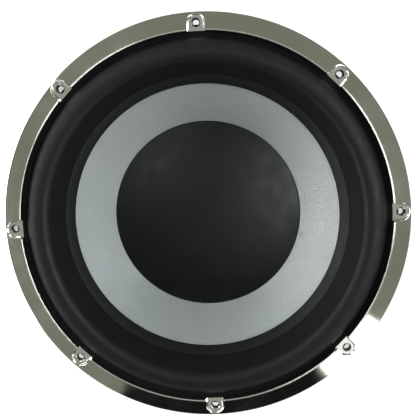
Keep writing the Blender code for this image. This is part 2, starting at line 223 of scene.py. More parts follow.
def regular(radius, count, center=(0.0, 0.0)):
    """Points of a regular polygon."""
    angles = [math.radians(360.0 * i / count) for i in range(count)]
    return [(center[0] + radius * math.cos(a), center[1] + radius * math.sin(a)) for a in angles]


def round_box(width, height, radius, steps=5):
    """A flat rectangle with round corners, centred on the origin."""
    x, y = width / 2, height / 2
    return rounded([(x, y, radius), (-x, y, radius), (-x, -y, radius), (x, -y, radius)], steps=steps)


def moved(part, matrix):
    """The same part, put through a matrix."""
    points, faces = part
    turn = np.array(matrix, float)
    return points @ turn[:3, :3].T + turn[:3, 3], faces


def around(part, count):
    """Copies of a part, spread evenly round Z."""
    turns = [Matrix.Rotation(math.radians(360.0 * i / count), 4, "Z") for i in range(count)]
    return [moved(part, turn) for turn in turns]


def mesh_of(name, *parts):
    """One mesh in metres from (points, faces) parts, with doubled points joined and faces turned out."""
    points, faces, total = [], [], 0
    for part_points, part_faces in parts:
        points.append(np.asarray(part_points, float))
        faces.extend([[int(i) + total for i in face] for face in part_faces])
        total += len(part_points)
    mesh = bpy.data.meshes.new(name)
    mesh.from_pydata((np.concatenate(points) * MM).tolist(), [], faces)
    return cleaned(mesh)


def cleaned(mesh, merge=1e-7):
    """Joins doubled points, drops empty faces, turns faces out and shades the mesh smooth."""
    shape = bmesh.new()
    shape.from_mesh(mesh)
    bmesh.ops.remove_doubles(shape, verts=shape.verts, dist=merge)
    bmesh.ops.dissolve_degenerate(shape, edges=shape.edges, dist=merge)
    bmesh.ops.recalc_face_normals(shape, faces=shape.faces)
    shape.to_mesh(mesh)
    shape.free()
    mesh.shade_smooth()
    mesh.set_sharp_from_angle(angle=SHARP)
    return mesh


def added(name, data):
    """A new object in the scene."""
    made = bpy.data.objects.new(name, data)
    bpy.context.scene.collection.objects.link(made)
    return made


def worked(mesh, *steps):
    """The mesh after modifiers: each step is (kind, settings), and an object setting may be a mesh."""
    made = added("workpiece", mesh)
    helpers = [made]
    for kind, settings in steps:
        modifier = made.modifiers.new(kind.title(), kind)
        for key, value in settings.items():
            if isinstance(value, bpy.types.Mesh):
                value = added("tool", value)
                helpers.append(value)
            setattr(modifier, key, value)
    bpy.context.view_layer.update()
    result = bpy.data.meshes.new_from_object(made.evaluated_get(bpy.context.evaluated_depsgraph_get()))
    for helper in helpers:
        bpy.data.objects.remove(helper, do_unlink=True)
    return cleaned(result)


def cut(tool):
    """A step for worked() that takes a tool's mesh away."""
    return "BOOLEAN", {"operation": "DIFFERENCE", "solver": "EXACT", "object": tool}


def joined(tool):
    """A step for worked() that adds a tool's mesh."""
    return "BOOLEAN", {"operation": "UNION", "solver": "EXACT", "object": tool}


def bevel(width, segments=2):
    """A step for worked() that rounds the sharp edges."""
    return "BEVEL", {"width": width * MM, "segments": segments, "limit_method": "ANGLE",
                     "angle_limit": math.radians(50), "use_clamp_overlap": True}


def shown(name, mesh, slot):
    """Shows a mesh with a slot's material."""
    made = added(name, mesh)
    mesh.materials.clear()
    mesh.materials.append(LOOKS[slot])
    return made


def piece(node, mesh, slot):
    """Shows a mesh in place of a CAD node."""
    made = shown(node + "_detail", mesh, slot)
    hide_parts(node)
    return made


def ride(node, mesh, slot, body="frame"):
    """A piece that moves with one body."""
    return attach(piece(node, mesh, slot), body)


def stretch(node, mesh, slot, outer, inner):
    """A piece that hangs between the frame, beyond the outer radius, and the cone, within the inner one."""
    made = piece(node, mesh, slot)
    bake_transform(made, "frame", "cone_assembly", (outer * MM, 0, 0), (inner * MM, 0, 0))
    places = np.empty(len(mesh.vertices) * 3)
    mesh.vertices.foreach_get("co", places)
    radii = np.hypot(*places.reshape(-1, 3)[:, :2].T) / MM
    share = smoothstep((outer - radii) / (outer - inner))
    mesh.attributes["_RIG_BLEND"].data.foreach_set("value", share.astype(np.float32))
    return made


def cone_height(radius):
    """The height of the cone's front surface at this radius."""
    return CONE_AT_CAP + (radius - CAP_RADIUS) * math.tan(CONE_SLOPE)


# ---- materials

class Graph:
    """Adds nodes to a node tree and joins them up."""

    def __init__(self, tree):
        self.tree = tree

    def add(self, kind, inputs=None, output=0, **settings):
        """A new node's output, with its inputs set to values or to other nodes' outputs."""
        node = self.tree.nodes.new("ShaderNode" + kind)
        for key, value in settings.items():
            setattr(node, key, value)
        for key, value in (inputs or {}).items():
            self.feed(node.inputs[key], value)
        return node.outputs[output]

    def feed(self, socket, value):
        """Sets a socket to a value, or links it to an output."""
        if isinstance(value, bpy.types.NodeSocket):
            self.tree.links.new(value, socket)
        elif isinstance(value, tuple) and len(value) == 3 and socket.type == "RGBA":
            socket.default_value = (*value, 1.0)
        else:
            socket.default_value = value

    def math(self, operation, first, second=0.0):
        """One step of arithmetic."""
        return self.add("Math", {0: first, 1: second}, operation=operation)

    def span(self, value, low, high, out_low=0.0, out_high=1.0):
        """The value, carried smoothly from one range to another."""
        return self.add("MapRange", {"Value": value, "From Min": low, "From Max": high, "To Min": out_low,
                                     "To Max": out_high}, interpolation_type="SMOOTHSTEP")

    def mix(self, share, first, second, blend="MIX"):
        """One colour mixed with another."""
        return self.add("MixRGB", {"Fac": share, "Color1": first, "Color2": second}, blend_type=blend)

    def split(self, vector):
        """A vector's x, y and z."""
        node = self.tree.nodes.new("ShaderNodeSeparateXYZ")
        self.feed(node.inputs[0], vector)
        return node.outputs

    def distance(self, x, y):
        """The length of the flat vector (x, y)."""
        squares = self.math("ADD", self.math("MULTIPLY", x, x), self.math("MULTIPLY", y, y))
        return self.math("SQRT", squares)

    def noise(self, scale, detail=3.0, roughness=0.5, place=None):
        """Noise from 0 to 1."""
        inputs = {"Scale": scale, "Detail": detail, "Roughness": roughness}
        if place is not None:
            inputs["Vector"] = place
        return self.add("TexNoise", inputs)


class Look(Graph):
    """A Principled material and the nodes that feed it, placed by the piece's own metres."""

    def __init__(self, name, color, roughness, metallic=0.0, **sockets):
        self.name = name
        self.material = bpy.data.materials.new(name)
        self.material.use_nodes = True
        super().__init__(self.material.node_tree)
        self.shader = self.tree.nodes["Principled BSDF"]
        self.place = self.add("TexCoord", output="Object")
        self.height = None
        self.set("Base Color", color)
        self.set("Roughness", roughness)
        self.set("Metallic", metallic)
        for key, value in sockets.items():
            self.set(key.replace("_", " "), value)

    def set(self, socket, value):
        """Sets or links one of the shader's inputs."""
        self.feed(self.shader.inputs[socket], value)

    def axes(self):
        """The piece's x, y and z."""
        return self.split(self.place)

    def grain(self, scale, detail=3.0, roughness=0.5):
        """Noise in the piece's own place, at this scale per metre."""
        return self.noise(scale, detail, roughness, self.place)

    def vary(self, socket, share, low, high):
        """Runs a shader input between two values or colours."""
        if isinstance(low, tuple):
            self.set(socket, self.mix(share, low, high))
        else:
            self.set(socket, self.span(share, 0.3, 0.7, low, high))

    def bump(self, height, depth):
        """Adds surface relief of this depth in millimetres."""
        inputs = {"Height": height, "Distance": depth * MM, "Strength": 1.0}
        if self.height is not None:
            inputs["Normal"] = self.height
        self.height = self.add("Bump", inputs)
        self.set("Normal", self.height)

    def from_axis(self):
        """The distance from the driver's axis, in metres."""
        x, y, _ = self.axes()
        return self.distance(x, y)

    def wave(self, value, pitch):
        """A sine wave of this pitch in millimetres."""
        return self.math("SINE", self.math("MULTIPLY", value, 2 * math.pi / (pitch * MM)))


def grained(name, dark, light, smooth, rough, scale, depth, metallic=0.0, patches=40.0, **sockets):
    """A material with patches of colour and roughness under a fine grain."""
    look = Look(name, dark, rough, metallic, **sockets)
    patch = look.grain(patches, 4.0, 0.6)
    look.vary("Base Color", patch, dark, light)
    look.vary("Roughness", look.grain(patches * 3, 3.0), smooth, rough)
    look.bump(look.grain(scale, 2.0), depth)
    return look


def chrome():
    """Bright plating over a pressed ring, with a little haze."""
    look = Look("chrome", (0.80, 0.80, 0.76), 0.06, 1.0)
    haze = look.grain(28.0, 5.0, 0.65)
    look.vary("Base Color", haze, (0.74, 0.745, 0.70), (0.84, 0.835, 0.80))
    look.vary("Roughness", haze, 0.045, 0.11)
    look.bump(look.grain(55.0, 1.0), 0.02)
    look.bump(look.grain(2200.0, 2.0), 0.0015)
    return look


def silver_weave():
    """A silver cloth skin: threads that cross over and under on the slant."""
    look = Look("silver_weave", (0.4, 0.42, 0.42), 0.38, 0.42)
    x, y, _ = look.axes()
    pitch = 1.9
    one = look.wave(look.math("ADD", x, y), pitch * math.sqrt(2))
    two = look.wave(look.math("SUBTRACT", x, y), pitch * math.sqrt(2))
    cross = look.math("MULTIPLY", one, two)
    thread = look.math("POWER", look.math("ABSOLUTE", cross), 0.5)
    over = look.span(cross, -0.2, 0.2)
    bright = look.mix(over, (0.40, 0.43, 0.435), (0.48, 0.51, 0.51))
    uneven = look.mix(look.grain(60.0, 4.0, 0.6), bright, (0.37, 0.395, 0.40))
    look.set("Base Color", look.mix(look.span(thread, 0.1, 0.7), (0.20, 0.215, 0.22), uneven))
    look.vary("Roughness", look.grain(300.0, 2.0), 0.32, 0.46)
    look.bump(thread, 0.10)
    look.bump(look.grain(3500.0, 2.0), 0.01)
    return look


def machined(name, dark, light, pitch, depth, rough=0.34):
    """Plated steel, turned on a lathe: fine rings about the axis."""
    look = Look(name, dark, rough, 1.0)
    patch = look.grain(30.0, 5.0, 0.6)
    look.vary("Base Color", patch, dark, light)
    look.vary("Roughness", look.grain(90.0, 4.0), rough - 0.08, rough + 0.1)
    look.bump(look.wave(look.from_axis(), pitch), depth)
    look.bump(look.grain(900.0, 2.0), 0.006)
    return look


def powder_coat():
    """Black powder coat on pressed steel: a fine pebble, with a little dust."""
    look = Look("basket_black", (0.012, 0.012, 0.013), 0.45)
    dust = look.grain(45.0, 5.0, 0.65)
    look.vary("Base Color", look.span(dust, 0.5, 0.75), (0.010, 0.010, 0.011), (0.024, 0.024, 0.025))
    look.vary("Roughness", look.grain(120.0, 3.0), 0.36, 0.52)
    cells = look.add("TexVoronoi", {"Vector": look.place, "Scale": 900.0, "Smoothness": 1.0},
                     feature="SMOOTH_F1")
    look.bump(cells, 0.035)
    look.bump(look.grain(260.0, 2.0), 0.02)
    return look


def surround_rubber():
    """Moulded rubber with a fine satin grain, matt beyond the roll, where its colour is darkened as painted
    shade for the deep gap by the ring.
    """
    look = Look("surround_rubber", (0.008, 0.008, 0.0085), 0.52)
    look.set("Specular IOR Level", 0.29)
    # Beyond the roll the colour is darkened to near black: painted shade in the deep gap between the roll
    # and the ring's wall.
    outside = look.span(look.from_axis(), 138.4 * MM, 139.2 * MM)
    worn = look.mix(look.grain(35.0, 4.0, 0.6), (0.002, 0.0024, 0.003), (0.004, 0.0046, 0.0054))
    look.set("Base Color", look.mix(outside, worn, (0.002, 0.002, 0.002)))
    rough = look.span(look.grain(150.0, 4.0), 0.3, 0.7, 0.46, 0.58)
    look.set("Roughness", look.span(outside, 0.0, 1.0, rough, 0.95))
    look.bump(look.grain(1800.0, 3.0), 0.03)
    return look


def spider_cloth():
    """Amber cotton, woven square and stiffened with resin."""
    look = Look("spider_cloth", (0.5, 0.33, 0.10), 0.75)
    x, y, _ = look.axes()
    warp, weft = look.wave(x, 1.1), look.wave(y, 1.1)
    cross = look.math("MULTIPLY", warp, weft)
    thread = look.math("POWER", look.math("ABSOLUTE", cross), 0.5)
    patch = look.mix(look.grain(50.0, 4.0), (0.52, 0.34, 0.10), (0.38, 0.22, 0.055))
    look.set("Base Color", look.mix(look.span(thread, 0.05, 0.6), (0.16, 0.09, 0.02), patch))
    look.vary("Roughness", look.grain(200.0, 2.0), 0.62, 0.85)
    look.bump(thread, 0.12)
    return look


def wound_copper():
    """Enamelled copper wire, wound in a close helix."""
    look = Look("copper", (0.72, 0.30, 0.13), 0.3, 1.0)
    look.vary("Base Color", look.grain(150.0, 3.0), (0.62, 0.22, 0.08), (0.80, 0.36, 0.17))
    look.vary("Roughness", look.grain(400.0, 2.0), 0.22, 0.38)
    look.bump(look.grain(2500.0, 1.0), 0.004)
    return look


def braid():
    """Silvered copper threads braided round a cord."""
    look = Look("tinsel", (0.6, 0.56, 0.5), 0.42, 0.85)
    x, y, z = look.axes()
    one = look.wave(look.math("ADD", y, z), 0.55)
    two = look.wave(look.math("SUBTRACT", y, z), 0.55)
    thread = look.math("ABSOLUTE", look.math("MULTIPLY", one, two))
    look.vary("Base Color", look.span(thread, 0.1, 0.8), (0.30, 0.24, 0.18), (0.72, 0.68, 0.62))
    look.vary("Roughness", look.grain(700.0, 2.0), 0.3, 0.5)
    look.bump(thread, 0.05)
    return look


def ferrite():
    """Sintered ceramic: dark grey with fine specks and pits."""
    look = Look("ferrite", (0.05, 0.05, 0.052), 0.6)
    specks = look.grain(1600.0, 2.0)
    look.vary("Base Color", look.span(specks, 0.5, 0.75), (0.035, 0.035, 0.038), (0.085, 0.085, 0.088))
    look.vary("Roughness", look.grain(80.0, 4.0), 0.5, 0.72)
    look.bump(look.grain(700.0, 4.0, 0.6), 0.05)
    return look


def all_looks():
    """The materials, by the record's slot names."""
    looks = [
        chrome(), silver_weave(), powder_coat(), surround_rubber(), spider_cloth(), wound_copper(), braid(),
        ferrite(),
        machined("zinc_steel", (0.54, 0.54, 0.50), (0.66, 0.65, 0.60), 0.55, 0.010),
        grained("boot_rubber", (0.010, 0.010, 0.011), (0.020, 0.020, 0.021), 0.50, 0.66, 1500.0, 0.05),
        grained("cap_black", (0.0016, 0.002, 0.0026), (0.003, 0.0036, 0.0044), 0.42, 0.52, 1400.0, 0.02,
                patches=25.0, Specular_IOR_Level=0.29),
        grained("former_aluminium", (0.70, 0.70, 0.71), (0.80, 0.80, 0.81), 0.24, 0.36, 900.0, 0.01, 1.0),
        grained("black_screw", (0.016, 0.016, 0.017), (0.035, 0.035, 0.036), 0.26, 0.40, 1500.0, 0.02, 0.6),
        grained("zinc_screw", (0.50, 0.50, 0.47), (0.64, 0.63, 0.58), 0.26, 0.42, 1500.0, 0.02, 1.0),
        grained("spring_steel", (0.48, 0.48, 0.49), (0.62, 0.62, 0.63), 0.20, 0.32, 1800.0, 0.01, 1.0),
        grained("brass_post", (0.66, 0.48, 0.18), (0.80, 0.62, 0.27), 0.20, 0.34, 1200.0, 0.01, 1.0),
        grained("base_plastic", (0.012, 0.012, 0.013), (0.020, 0.020, 0.021), 0.38, 0.52, 2000.0, 0.03),
        grained("red_plastic", (0.42, 0.012, 0.012), (0.55, 0.022, 0.018), 0.26, 0.38, 900.0, 0.015),
        grained("black_plastic", (0.012, 0.012, 0.013), (0.022, 0.022, 0.023), 0.26, 0.38, 900.0, 0.015),
    ]
    return {look.name: look.material for look in looks}


# ---- the moving assembly

def surround():
    """The roll, steep inside with a narrow crest, and its flat band. It stretches as the cone moves."""
    sheet = 1.5
    foot = FLANGE_MIDDLE + SHEET / 2 + GAP + sheet / 2
    lift = (GAP + sheet / 2) / math.cos(CONE_SLOPE) + 0.1
    outer_foot, inner_foot = foot + 1.0, cone_height(ROLL_INNER) + lift
    across, down = CREST_RADIUS - ROLL_INNER, ROLL_CREST - CREST_BEND - inner_foot
    tangent = math.atan2(down, across) - math.acos(CREST_BEND / math.hypot(across, down))
    outside = elliptic_arc((CREST_RADIUS, outer_foot), ROLL_OUTER - CREST_RADIUS,
                           ROLL_CREST - outer_foot, 0, 90, 28)
    crest = elliptic_arc((CREST_RADIUS, ROLL_CREST - CREST_BEND), CREST_BEND, CREST_BEND,
                         90, 180 + math.degrees(tangent), 18)
    band_edge = BAND_INNER + sheet / 2
    middle = [(147.2, foot), (ROLL_OUTER, foot, 0.9), *outside, *crest[1:],
              (ROLL_INNER, inner_foot, 0.9), (band_edge, cone_height(band_edge) + lift)]
    outline = sheet_outline(rounded(middle, closed=False), sheet)
    mesh = mesh_of("surround", turned(outline, FINEST))
    stretch("surround", mesh, "surround_rubber", ROLL_OUTER, ROLL_INNER)


def cone():
    """The thin woven cone, down to the neck that is glued on the former."""
    sheet = 1.0
    drop = sheet / 2 / math.cos(CONE_SLOPE)
    edge = ROLL_INNER - 0.3
    radii = [edge + (CONE_NECK - edge) * i / 30 for i in range(31)]
    middle = [(radius, cone_height(radius) - drop) for radius in radii]
    outline = sheet_outline(rounded([*middle, (33.0, 98.0)], closed=False), sheet)
    ride("cone", mesh_of("cone", turned(outline, FINEST)), "silver_weave", "cone_assembly")


def dust_cap():
    """The shallow dome over the former, with a rolled foot."""
    sheet = 0.8
    foot = CONE_AT_CAP + 1.0
    rise = CAP_CREST - foot
    ball = (CAP_RADIUS ** 2 + rise ** 2) / (2 * rise)
    spread = math.degrees(math.asin(CAP_RADIUS / ball))
    center = (0.0, CAP_CREST - ball)
    outside = elliptic_arc(center, ball, ball, 90, 90 - spread, 40)
    inside = elliptic_arc(center, ball - sheet, ball - sheet, 90 - spread, 90, 40)
    outside[0], inside[-1] = (0.0, outside[0][1]), (0.0, inside[-1][1])
    lip = [(CAP_RADIUS + 0.15, foot - 0.25), (CAP_RADIUS - 0.15, foot - 0.55),
           (CAP_RADIUS - 0.6, foot - 0.5)]
    dome = turned([*outside, *lip, *inside], closed=False)
    ride("dust_cap", mesh_of("dust_cap", dome), "cap_black", "cone_assembly")


def glue_bead():
    """The bead of black glue in the corner between the cap and the cone."""
    inner, outer = CAP_RADIUS - 0.9, CAP_RADIUS + 0.75
    outline = rounded([
        (inner, cone_height(inner) + 0.05), (outer, cone_height(outer) + 0.05),
        (CAP_RADIUS + 0.25, CONE_AT_CAP + 0.62, 0.4), (CAP_RADIUS - 0.5, CONE_AT_CAP + 0.5),
    ], steps=3)
    made = shown("cap_glue_bead", mesh_of("cap_glue_bead", turned(outline)), "cap_black")
    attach(made, "cone_assembly")


def former_and_coils():
    """The thin former and its two windings, each a close row of wire."""
    foot, head, inner, outer = 40.5, 104.0, 31.75, 32.15
    wall = rounded([(inner, head, 0.1), (outer, head, 0.1), (outer, foot, 0.1), (inner, foot, 0.1)],
                   steps=2)
    ride("voice_coil_former", mesh_of("former", turned(wall)), "former_aluminium", "cone_assembly")
    coil_foot, wires, layer = 41.5, 40, 0.9
    pitch = 30.0 / wires
    start = outer + GAP
    for node in ("coil_inner", "coil_outer"):
        valley, crown = start + layer - 0.22, start + layer - 0.03
        outline = [(start, coil_foot), (start, coil_foot + wires * pitch)]
        for i in range(wires):
            top = coil_foot + (wires - i) * pitch
            outline += [(valley, top), (crown, top - 0.25 * pitch), (crown, top - 0.75 * pitch)]
        outline.append((valley, coil_foot))
        ride(node, mesh_of(node, turned(outline, COARSE)), "copper", "cone_assembly")
        start += layer + GAP


def spider():
    """The corrugated cloth disc, which follows the cone at its collar and the basket at its edge."""
    level, wave, folds, sheet = LEDGE_MIDDLE + SHEET / 2 + 0.9, 2.4, 8, 0.8
    first, last = 37.5, 78.5
    middle = [(33.2, level + 3.6), (33.2, level, 0.8)]
    steps = (folds - 1) * 8
    for i in range(steps + 1):
        radius = first + (last - first) * i / steps
        middle.append((radius, level - wave * math.cos(math.pi * i / 8) * 0.96))
    middle += [(SPIDER_OUTER, level, 2.0), (93.0, level)]
    outline = sheet_outline(rounded(middle, closed=False), sheet)
    stretch("spider", mesh_of("spider", turned(outline, 192)), "spider_cloth", SPIDER_OUTER, SPIDER_INNER)


def smooth_route(points, count):
    """Points of one smooth curve through the given ones."""
    controls = [Vector(point) for point in points]
    controls = [2 * controls[0] - controls[1], *controls, 2 * controls[-1] - controls[-2]]
    spans = len(points) - 1
    route = []
    for i in range(count + 1):
        at = min(i / count * spans, spans - 1e-6)
        k, t = int(at), at - int(at)
        p0, p1, p2, p3 = controls[k:k + 4]
        route.append(((2 * p1) + (p2 - p0) * t + (2 * p0 - 5 * p1 + 4 * p2 - p3) * t ** 2
                      + (3 * p1 - p0 - 3 * p2 + p3) * t ** 3) / 2)
    return route


def tinsel_leads():
    """Four braided leads from the terminals to the former, which give as the cone moves."""
    course = [(6.6, 92.2, 100.0), (7.4, 84.0, 100.2), (9.6, 70.0, 95.4),
              (10.4, 56.0, 91.2), (8.6, 43.0, 89.4), (6.2, 34.4, 89.4)]
    for side, block in BLOCKS:
        for offset, pole in ((1, "positive"), (-1, "negative")):
            route = [(x * offset * side, y * side, z) for x, y, z in smooth_route(course, 180)]
            node = f"tinsel_lead_{pole}_{block}"
            cord = tube([tuple(point) for point in route], 0.9, 16, ripple=0.12)
            stretch(node, mesh_of(node, cord), "tinsel", SPIDER_OUTER, SPIDER_INNER)


# ---- the frame

def pad_mask(across, along):
    """How far each point of the trim ring is lifted out of a pad's pocket: 0 on its floor, 1 outside."""
    flare_start, flare_length, flare_width, shoulder = 145.2, 2.4, 0.9, 1.4
    flare = flare_width * smoothstep((flare_start - across) / flare_length)
    beside = np.abs(along) - PAD_HALF_WIDTH - flare
    beyond = np.hypot(across - PAD_CIRCLE, along) - PAD_HALF_WIDTH
    outside = np.where(across < PAD_CIRCLE, beside, beyond)
    part = np.clip((outside + 0.1) / shoulder, 0.0, 1.0)
    return smoothstep(part ** 0.8)


def trim_ring():
    """The plated ring: a lip and a groove, a sloping face, and a U-shaped pocket round each hole."""
    seat = FLANGE_MIDDLE + SHEET / 2 + GAP
    foot = seat + 1.8
    back_inner, back_outer = 147.8, 156.0
    lip_top, groove = LIP_HEIGHT - 0.05, LIP_HEIGHT - 0.95
    start, end = (LIP_RADIUS + 1.45, LIP_HEIGHT - 0.5), (156.8, seat + 3.3)
    face = [tuple(point) for point in np.linspace(start, end, 60)]
    wall = [(LIP_RADIUS, foot + (LIP_HEIGHT - 1.2 - foot) * i / 6) for i in range(7)]
    outline = np.array(rounded([
        (back_inner, foot), *wall, (LIP_RADIUS, lip_top, 0.35), (LIP_RADIUS + 0.8, lip_top, 0.4),
        (LIP_RADIUS + 0.9, groove, 0.12), (LIP_RADIUS + 1.3, groove, 0.12), *face,
        (RIM_RADIUS, seat + 2.6, 1.4), (RIM_RADIUS, RIM_FOOT, 0.4), (back_outer, RIM_FOOT, 0.3),
        (back_outer, seat), (back_inner, seat),
    ], steps=6))
    near = np.arange(-42, 43) * 0.2
    edge = math.degrees(near[-1] / PAD_CIRCLE)
    between = np.linspace(edge, 360 / PAD_COUNT - edge, 30)[1:-1]
    offsets = np.concatenate([np.degrees(near / PAD_CIRCLE), between])
    radii, heights = outline[:, 0][None, :], outline[:, 1][None, :]
    turn = np.radians(offsets)[:, None]
    nearest = (turn + math.pi / PAD_COUNT) % (2 * math.pi / PAD_COUNT) - math.pi / PAD_COUNT
    straight = np.arcsin(np.clip(PAD_CIRCLE * nearest / radii, -0.9, 0.9))
    keep = 1 - smoothstep((np.abs(nearest) * PAD_CIRCLE - 8.0) / 12.0)
    offset = nearest + (straight - nearest) * keep
    lifted = pad_mask(radii * np.cos(offset), radii * np.sin(offset))
    height = np.where(heights > PAD_FLOOR, PAD_FLOOR + (heights - PAD_FLOOR) * lifted, heights)
    rows = []
    for pad in range(PAD_COUNT):
        angle = turn - nearest + offset + 2 * math.pi * pad / PAD_COUNT
        rows.append(np.stack([radii * np.cos(angle), radii * np.sin(angle), height], axis=-1))
    points = np.concatenate(rows)
    faces = grid_faces(*points.shape[:2], True, True)
    ring = mesh_of("ring", (points.reshape(-1, 3), faces))
    low, high, mouth = RIM_FOOT - 2, PAD_FLOOR + 3, HOLE_RADIUS + 0.6
    bore = turned([(0, low), (HOLE_RADIUS, low), (HOLE_RADIUS, PAD_FLOOR - 0.5),
                   (mouth, PAD_FLOOR + 0.1), (mouth, high), (0, high)], 40, closed=False)
    holes = around(moved(bore, Matrix.Translation((PAD_CIRCLE, 0, 0))), PAD_COUNT)
    ride("trim_ring", worked(ring, cut(mesh_of("holes", *holes))), "chrome")


def basket_line():
    """The basket's middle line with its bends rounded, evenly spaced, and its length at each point."""
    line = rounded([
        (37.0, FLOOR_MIDDLE), (82.85, FLOOR_MIDDLE, 5.0), (84.5, LEDGE_MIDDLE, 1.8),
        (95.5, LEDGE_MIDDLE, 1.8), (96.5, 111.0, 12.0), (103.0, 121.0, 14.0), (118.0, 132.0, 14.0),
        (131.0, 149.0, 14.0), (136.5, FLANGE_MIDDLE, 4.0), (155.4, FLANGE_MIDDLE),
    ], closed=False, steps=6)
    line = np.array(line)
    length = np.concatenate([[0.0], np.cumsum(np.linalg.norm(np.diff(line, axis=0), axis=1))])
    return line, length


def corner_pull(beside, beyond, radius):
    """How far points near a square window's corner move so that the corner becomes round."""
    reach = 1.6 * radius
    along = np.where(beside > 0, np.maximum(-beyond, 0), np.where(beyond > 0, np.maximum(-beside, 0), 0))
    along = np.where((beside <= 0) & (beyond <= 0), np.maximum(-beside, -beyond), along)
    swing = np.radians(45) * np.clip(1 - along / radius, 0, 1)
    short = np.where(along < radius, radius * (np.cos(swing) - 1), 0.0)
    long = np.where(along < radius, radius * (np.sin(swing) - 1) + along, 0.0)
    upright = (beside >= beyond)
    side_pull, end_pull = np.where(upright, short, long), np.where(upright, long, short)
    away = np.maximum(np.maximum(beside, beyond), 0.0)
    fade = np.clip(1 - away / reach, 0, 1) ** 2
    return side_pull * fade, end_pull * fade


def basket():
    """The pressed steel frame: windows with round corners and turned lips, and a rib down each spoke
    but those behind the terminals.
    """
    line, length = basket_line()
    outward = -line_normals(line)
    wall_foot, cup_foot, cup_head = (float(np.interp(z, line[:, 1], length)) for z in (96.0, 68.5, 77.5))
    wall_head = float(np.interp(130.0, line[:, 0], length))
    # Each row of windows: both ends along the line, half its angle in degrees and its corner radius
    wall, cup = (wall_foot, wall_head, 12.5, 6.0), (cup_foot, cup_head, 8.5, 3.4)
    stops = [0.0, cup[0], cup[1], wall[0], wall[1], length[-1]]
    spaced = [np.linspace(a, b, max(int((b - a) / 1.9), 2), endpoint=False)
              for a, b in zip(stops, stops[1:])]
    rows = np.unique(np.round(np.concatenate([*spaced, length[1:]]), 3))
    kept = [row for row, onward in zip(rows, rows[1:])
            if onward - row > 0.25 or any(abs(row - stop) < 0.01 for stop in stops)]
    rows = np.array([*kept, rows[-1]])
    angle_stops, counts = (0.0, 10.0, 14.0, 31.0, 35.0, 45.0), (8, 3, 12, 3, 8)
    sector = np.concatenate([np.linspace(a, b, n, endpoint=False)
                             for a, b, n in zip(angle_stops, angle_stops[1:], counts)])
    angles = np.concatenate([sector + 45.0 * i for i in range(WINDOW_COUNT)])
    degrees, travel = np.meshgrid(angles, rows, indexing="ij")
    from_window = (degrees % 45.0) - 22.5
    radius = np.interp(travel, length, line[:, 0])
    pressed = np.zeros_like(travel)
    hole = np.zeros(travel.shape, bool)
    shift_side, shift_end = np.zeros_like(travel), np.zeros_like(travel)
    for low, high, half_angle, corner in (wall, cup):
        beside = (np.abs(from_window) - half_angle) * np.pi / 180 * radius
        beyond = np.abs(travel - (low + high) / 2) - (high - low) / 2
        side_pull, end_pull = corner_pull(beside, beyond, corner)
        shift_side += side_pull * np.sign(from_window)
        shift_end += end_pull * np.sign(travel - (low + high) / 2)
        hole |= (beside < -1e-3) & (beyond < -1e-3)
        away = np.maximum(np.maximum(beside, beyond), 0.0)
        pressed += 0.9 * np.clip(1 - away / 3.0, 0, 1) ** 2 * (beside > -1e-3)
    from_spoke = ((degrees + 22.5) % 45.0 - 22.5) * np.pi / 180 * radius
    plain = np.abs(np.abs((degrees % 360.0) - 180.0) - 90.0) < 20.0
    rib = np.clip(1 - (from_spoke / 5.0) ** 2, 0, 1) ** 2
    reach = smoothstep((travel - wall[0] - 2) / 8.0) * smoothstep((wall[1] - 2 - travel) / 10.0)
    pressed = np.where(hole, 0.0, pressed) + np.where(plain, 0.0, 1.3 * rib * reach)
    degrees = degrees + np.degrees(shift_side / radius)
    travel = travel + shift_end
    radius = np.interp(travel, length, line[:, 0]) + pressed * np.interp(travel, length, outward[:, 0])
    height = np.interp(travel, length, line[:, 1]) + pressed * np.interp(travel, length, outward[:, 1])
    turn = np.radians(degrees)
    points = np.stack([radius * np.cos(turn), radius * np.sin(turn), height], axis=-1).reshape(-1, 3)
    faces = grid_faces(len(angles), len(rows), True, False)
    middle = mesh_of("basket", (points, faces[~inside_window(faces, angles, rows, (wall, cup))]))
    flange_hole = prism(regular(FLANGE_HOLE, 24, (PAD_CIRCLE, 0)), FLANGE_MIDDLE - 4, FLANGE_MIDDLE + 4)
    screw_hole = prism(regular(SCREW_HOLE, 20, (SCREW_CIRCLE, 0)), 58, 66)
    through = Matrix.Translation((0, 0, TERMINAL_HEIGHT)) @ LIE_BACK
    tools = [*around(flange_hole, PAD_COUNT), *around(screw_hole, SCREW_COUNT),
             moved(prism(round_box(20, 7, 1.0), -101, 101), through)]
    for offset in (TERMINAL_SCREW_OFFSET, -TERMINAL_SCREW_OFFSET):
        tools.append(moved(prism(regular(1.4, 12, (offset, 0)), -101, 101), through))
    thicken = ("SOLIDIFY", {"thickness": SHEET * MM, "offset": 0.0, "use_even_offset": True,
                            "use_rim": True})
    solid = worked(middle, thicken, bevel(0.45))
    ride("basket", worked(solid, cut(mesh_of("tools", *tools))), "basket_black")


def inside_window(faces, angles, rows, windows):
    """Which faces of the basket's grid lie inside a window."""
    column, row = faces[:, 0] // len(rows), faces[:, 0] % len(rows)
    step = (np.roll(angles, -1) - angles) % 360.0
    from_window = (angles[column] + step[column] / 2) % 45.0 - 22.5
    travel = (rows[row] + rows[np.minimum(row + 1, len(rows) - 1)]) / 2
    found = np.zeros(len(faces), bool)
    for low, high, half_angle, _ in windows:
        found |= (np.abs(from_window) < half_angle) & (travel > low) & (travel < high)
    return found


